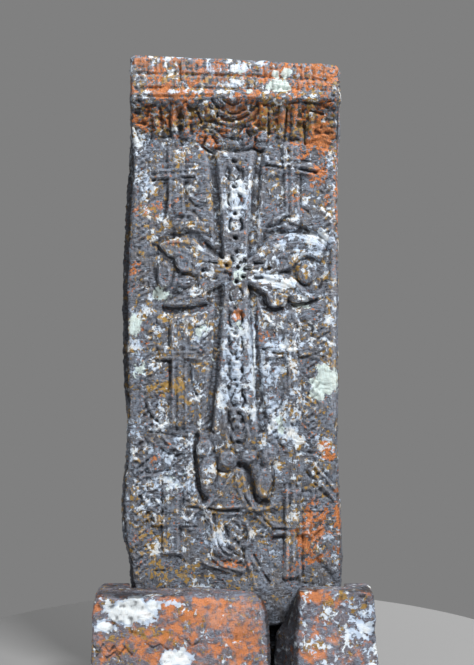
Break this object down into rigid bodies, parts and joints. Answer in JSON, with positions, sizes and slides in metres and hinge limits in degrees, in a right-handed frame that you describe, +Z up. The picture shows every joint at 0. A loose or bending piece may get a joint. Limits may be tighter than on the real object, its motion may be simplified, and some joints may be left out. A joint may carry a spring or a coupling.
{
  "type": "khachkar",
  "caption": "Tall weathered stone slab carved with a great cross between small crosses, with an inscribed cornice above and rough base stones in front of its foot.",
  "frame": {"origin": "middle of the slab's flat underside, on the ground", "axes": "+Z up the slab, -Y out of its carved face, +X to the right of someone who looks at that face"},
  "size_m": [0.9439, 0.4032, 2.1578],
  "materials": {
    "carved_stone": "matte",
    "base_stone": "matte"
  },
  "bodies": {
    "root": {"slab": "carved_stone", "base_stone_left": "base_stone", "base_stone_right": "base_stone"}
  },
  "joints": []
}
